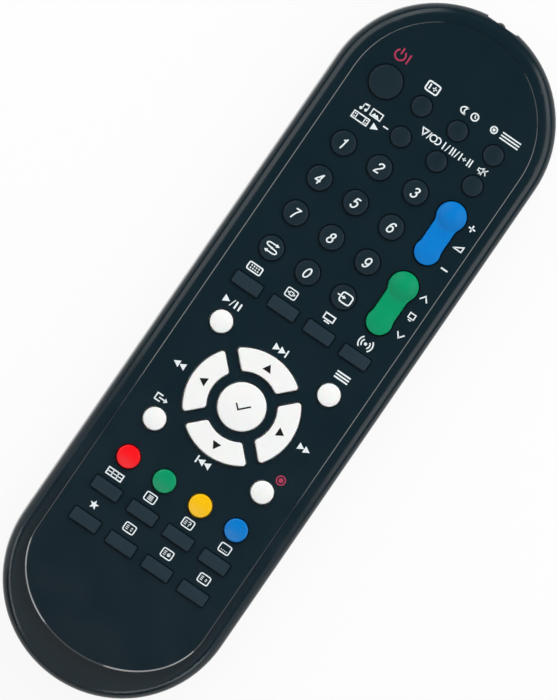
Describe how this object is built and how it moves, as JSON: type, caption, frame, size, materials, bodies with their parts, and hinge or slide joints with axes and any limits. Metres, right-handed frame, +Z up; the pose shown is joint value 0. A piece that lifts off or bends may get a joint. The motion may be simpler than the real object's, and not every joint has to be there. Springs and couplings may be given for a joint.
{
  "type": "tv remote control",
  "caption": "Hand-held infrared remote control: a long case with two round ends, a flat key panel with round, flat, ring and rocker keys, and a sliding battery cover on its back.",
  "frame": {"origin": "centre of the underside's bounding box, on the surface the remote lies on", "axes": "+X to the right seen from above with the infrared end away from the user, +Y along the case towards the infrared end, +Z up from the back through the keys"},
  "size_m": [0.0604, 0.2, 0.0233],
  "materials": {
    "case": "fine matt texture",
    "dark_rubber": "satin, slightly lighter than the case",
    "white_rubber": "satin white",
    "red_rubber": "satin red",
    "green_rubber": "satin green",
    "yellow_rubber": "satin yellow",
    "blue_rubber": "satin blue",
    "mat_rubber": "matt grey silicone",
    "board": "green solder mask",
    "window": "dark, lets only infrared through",
    "led": "clear bluish resin",
    "chip": "moulded black package",
    "ceramic": "blue dipped ceramic",
    "capacitor_can": "sleeved can",
    "contact_metal": "nickel plated spring steel",
    "cell_jacket": "plain jacket",
    "screw_steel": "zinc plated"
  },
  "bodies": {
    "case": {"upper_case": "case", "lower_case": "case", "circuit_board": "board", "keypad_mat": "mat_rubber", "ir_window": "window", "ir_led": "led", "controller_chip": "chip", "resonator": "ceramic", "capacitor": "capacitor_can", "contact_plates": "contact_metal", "battery_springs": "contact_metal", "battery_cells": "cell_jacket", "case_screws": "screw_steel"},
    "battery_cover": {"battery_cover": "case"},
    "power_key": {"power_key": "dark_rubber"},
    "info_key": {"info_key": "dark_rubber"},
    "sleep_key": {"sleep_key": "dark_rubber"},
    "list_key": {"list_key": "dark_rubber"},
    "media_key": {"media_key": "dark_rubber"},
    "sound_key": {"sound_key": "dark_rubber"},
    "mute_key": {"mute_key": "dark_rubber"},
    "swap_key": {"swap_key": "dark_rubber"},
    "input_key": {"input_key": "dark_rubber"},
    "play_key": {"play_key": "white_rubber"},
    "menu_key": {"menu_key": "white_rubber"},
    "ok_key": {"ok_key": "white_rubber"},
    "end_key": {"end_key": "white_rubber"},
    "record_key": {"record_key": "white_rubber"},
    "up_key": {"up_key": "white_rubber"},
    "left_key": {"left_key": "white_rubber"},
    "down_key": {"down_key": "white_rubber"},
    "right_key": {"right_key": "white_rubber"},
    "red_key": {"red_key": "red_rubber"},
    "green_key": {"green_key": "green_rubber"},
    "yellow_key": {"yellow_key": "yellow_rubber"},
    "blue_key": {"blue_key": "blue_rubber"},
    "digital_key": {"digital_key": "dark_rubber"},
    "wide_key": {"wide_key": "dark_rubber"},
    "monitor_key": {"monitor_key": "dark_rubber"},
    "radio_key": {"radio_key": "dark_rubber"},
    "guide_key": {"guide_key": "dark_rubber"},
    "text_key": {"text_key": "dark_rubber"},
    "reveal_key": {"reveal_key": "dark_rubber"},
    "subtitle_key": {"subtitle_key": "dark_rubber"},
    "favourite_key": {"favourite_key": "dark_rubber"},
    "hold_key": {"hold_key": "dark_rubber"},
    "index_key": {"index_key": "dark_rubber"},
    "subpage_key": {"subpage_key": "dark_rubber"},
    "number_0_key": {"number_0_key": "dark_rubber"},
    "number_1_key": {"number_1_key": "dark_rubber"},
    "number_2_key": {"number_2_key": "dark_rubber"},
    "number_3_key": {"number_3_key": "dark_rubber"},
    "number_4_key": {"number_4_key": "dark_rubber"},
    "number_5_key": {"number_5_key": "dark_rubber"},
    "number_6_key": {"number_6_key": "dark_rubber"},
    "number_7_key": {"number_7_key": "dark_rubber"},
    "number_8_key": {"number_8_key": "dark_rubber"},
    "number_9_key": {"number_9_key": "dark_rubber"},
    "volume_rocker": {"volume_rocker": "blue_rubber"},
    "programme_rocker": {"programme_rocker": "green_rubber"}
  },
  "joints": [
    {"name": "battery_cover_slide", "type": "slide", "parent": "case", "child": "battery_cover", "axis": [0, -1, 0], "range_m": [0, 0.082]},
    {"name": "power_press", "type": "slide", "parent": "case", "child": "power_key", "axis": [0, 0, -1], "range_m": [0, 0.0011], "stiffness_N_per_m": 800},
    {"name": "info_press", "type": "slide", "parent": "case", "child": "info_key", "axis": [0, 0, -1], "range_m": [0, 0.0011], "stiffness_N_per_m": 800},
    {"name": "sleep_press", "type": "slide", "parent": "case", "child": "sleep_key", "axis": [0, 0, -1], "range_m": [0, 0.0011], "stiffness_N_per_m": 800},
    {"name": "list_press", "type": "slide", "parent": "case", "child": "list_key", "axis": [0, 0, -1], "range_m": [0, 0.0011], "stiffness_N_per_m": 800},
    {"name": "media_press", "type": "slide", "parent": "case", "child": "media_key", "axis": [0, 0, -1], "range_m": [0, 0.0011], "stiffness_N_per_m": 800},
    {"name": "sound_press", "type": "slide", "parent": "case", "child": "sound_key", "axis": [0, 0, -1], "range_m": [0, 0.0011], "stiffness_N_per_m": 800},
    {"name": "mute_press", "type": "slide", "parent": "case", "child": "mute_key", "axis": [0, 0, -1], "range_m": [0, 0.0011], "stiffness_N_per_m": 800},
    {"name": "swap_press", "type": "slide", "parent": "case", "child": "swap_key", "axis": [0, 0, -1], "range_m": [0, 0.0011], "stiffness_N_per_m": 800},
    {"name": "input_press", "type": "slide", "parent": "case", "child": "input_key", "axis": [0, 0, -1], "range_m": [0, 0.0011], "stiffness_N_per_m": 800},
    {"name": "play_press", "type": "slide", "parent": "case", "child": "play_key", "axis": [0, 0, -1], "range_m": [0, 0.0011], "stiffness_N_per_m": 800},
    {"name": "menu_press", "type": "slide", "parent": "case", "child": "menu_key", "axis": [0, 0, -1], "range_m": [0, 0.0011], "stiffness_N_per_m": 800},
    {"name": "ok_press", "type": "slide", "parent": "case", "child": "ok_key", "axis": [0, 0, -1], "range_m": [0, 0.0011], "stiffness_N_per_m": 800},
    {"name": "end_press", "type": "slide", "parent": "case", "child": "end_key", "axis": [0, 0, -1], "range_m": [0, 0.0011], "stiffness_N_per_m": 800},
    {"name": "record_press", "type": "slide", "parent": "case", "child": "record_key", "axis": [0, 0, -1], "range_m": [0, 0.0011], "stiffness_N_per_m": 800},
    {"name": "up_press", "type": "slide", "parent": "case", "child": "up_key", "axis": [0, 0, -1], "range_m": [0, 0.0011], "stiffness_N_per_m": 800},
    {"name": "left_press", "type": "slide", "parent": "case", "child": "left_key", "axis": [0, 0, -1], "range_m": [0, 0.0011], "stiffness_N_per_m": 800},
    {"name": "down_press", "type": "slide", "parent": "case", "child": "down_key", "axis": [0, 0, -1], "range_m": [0, 0.0011], "stiffness_N_per_m": 800},
    {"name": "right_press", "type": "slide", "parent": "case", "child": "right_key", "axis": [0, 0, -1], "range_m": [0, 0.0011], "stiffness_N_per_m": 800},
    {"name": "red_press", "type": "slide", "parent": "case", "child": "red_key", "axis": [0, 0, -1], "range_m": [0, 0.0011], "stiffness_N_per_m": 800},
    {"name": "green_press", "type": "slide", "parent": "case", "child": "green_key", "axis": [0, 0, -1], "range_m": [0, 0.0011], "stiffness_N_per_m": 800},
    {"name": "yellow_press", "type": "slide", "parent": "case", "child": "yellow_key", "axis": [0, 0, -1], "range_m": [0, 0.0011], "stiffness_N_per_m": 800},
    {"name": "blue_press", "type": "slide", "parent": "case", "child": "blue_key", "axis": [0, 0, -1], "range_m": [0, 0.0011], "stiffness_N_per_m": 800},
    {"name": "digital_press", "type": "slide", "parent": "case", "child": "digital_key", "axis": [0, 0, -1], "range_m": [0, 0.0011], "stiffness_N_per_m": 800},
    {"name": "wide_press", "type": "slide", "parent": "case", "child": "wide_key", "axis": [0, 0, -1], "range_m": [0, 0.0011], "stiffness_N_per_m": 800},
    {"name": "monitor_press", "type": "slide", "parent": "case", "child": "monitor_key", "axis": [0, 0, -1], "range_m": [0, 0.0011], "stiffness_N_per_m": 800},
    {"name": "radio_press", "type": "slide", "parent": "case", "child": "radio_key", "axis": [0, 0, -1], "range_m": [0, 0.0011], "stiffness_N_per_m": 800},
    {"name": "guide_press", "type": "slide", "parent": "case", "child": "guide_key", "axis": [0, 0, -1], "range_m": [0, 0.0011], "stiffness_N_per_m": 800},
    {"name": "text_press", "type": "slide", "parent": "case", "child": "text_key", "axis": [0, 0, -1], "range_m": [0, 0.0011], "stiffness_N_per_m": 800},
    {"name": "reveal_press", "type": "slide", "parent": "case", "child": "reveal_key", "axis": [0, 0, -1], "range_m": [0, 0.0011], "stiffness_N_per_m": 800},
    {"name": "subtitle_press", "type": "slide", "parent": "case", "child": "subtitle_key", "axis": [0, 0, -1], "range_m": [0, 0.0011], "stiffness_N_per_m": 800},
    {"name": "favourite_press", "type": "slide", "parent": "case", "child": "favourite_key", "axis": [0, 0, -1], "range_m": [0, 0.0011], "stiffness_N_per_m": 800},
    {"name": "hold_press", "type": "slide", "parent": "case", "child": "hold_key", "axis": [0, 0, -1], "range_m": [0, 0.0011], "stiffness_N_per_m": 800},
    {"name": "index_press", "type": "slide", "parent": "case", "child": "index_key", "axis": [0, 0, -1], "range_m": [0, 0.0011], "stiffness_N_per_m": 800},
    {"name": "subpage_press", "type": "slide", "parent": "case", "child": "subpage_key", "axis": [0, 0, -1], "range_m": [0, 0.0011], "stiffness_N_per_m": 800},
    {"name": "number_0_press", "type": "slide", "parent": "case", "child": "number_0_key", "axis": [0, 0, -1], "range_m": [0, 0.0011], "stiffness_N_per_m": 800},
    {"name": "number_1_press", "type": "slide", "parent": "case", "child": "number_1_key", "axis": [0, 0, -1], "range_m": [0, 0.0011], "stiffness_N_per_m": 800},
    {"name": "number_2_press", "type": "slide", "parent": "case", "child": "number_2_key", "axis": [0, 0, -1], "range_m": [0, 0.0011], "stiffness_N_per_m": 800},
    {"name": "number_3_press", "type": "slide", "parent": "case", "child": "number_3_key", "axis": [0, 0, -1], "range_m": [0, 0.0011], "stiffness_N_per_m": 800},
    {"name": "number_4_press", "type": "slide", "parent": "case", "child": "number_4_key", "axis": [0, 0, -1], "range_m": [0, 0.0011], "stiffness_N_per_m": 800},
    {"name": "number_5_press", "type": "slide", "parent": "case", "child": "number_5_key", "axis": [0, 0, -1], "range_m": [0, 0.0011], "stiffness_N_per_m": 800},
    {"name": "number_6_press", "type": "slide", "parent": "case", "child": "number_6_key", "axis": [0, 0, -1], "range_m": [0, 0.0011], "stiffness_N_per_m": 800},
    {"name": "number_7_press", "type": "slide", "parent": "case", "child": "number_7_key", "axis": [0, 0, -1], "range_m": [0, 0.0011], "stiffness_N_per_m": 800},
    {"name": "number_8_press", "type": "slide", "parent": "case", "child": "number_8_key", "axis": [0, 0, -1], "range_m": [0, 0.0011], "stiffness_N_per_m": 800},
    {"name": "number_9_press", "type": "slide", "parent": "case", "child": "number_9_key", "axis": [0, 0, -1], "range_m": [0, 0.0011], "stiffness_N_per_m": 800},
    {"name": "volume_tilt", "type": "hinge", "parent": "case", "child": "volume_rocker", "pos_m": [0.01643, 0.04706, 0.0191], "axis": [1, 0, 0], "range_deg": [-5, 5], "stiffness_Nm_per_rad": 0.05},
    {"name": "programme_tilt", "type": "hinge", "parent": "case", "child": "programme_rocker", "pos_m": [0.01643, 0.02573, 0.0191], "axis": [1, 0, 0], "range_deg": [-5, 5], "stiffness_Nm_per_rad": 0.05}
  ]
}
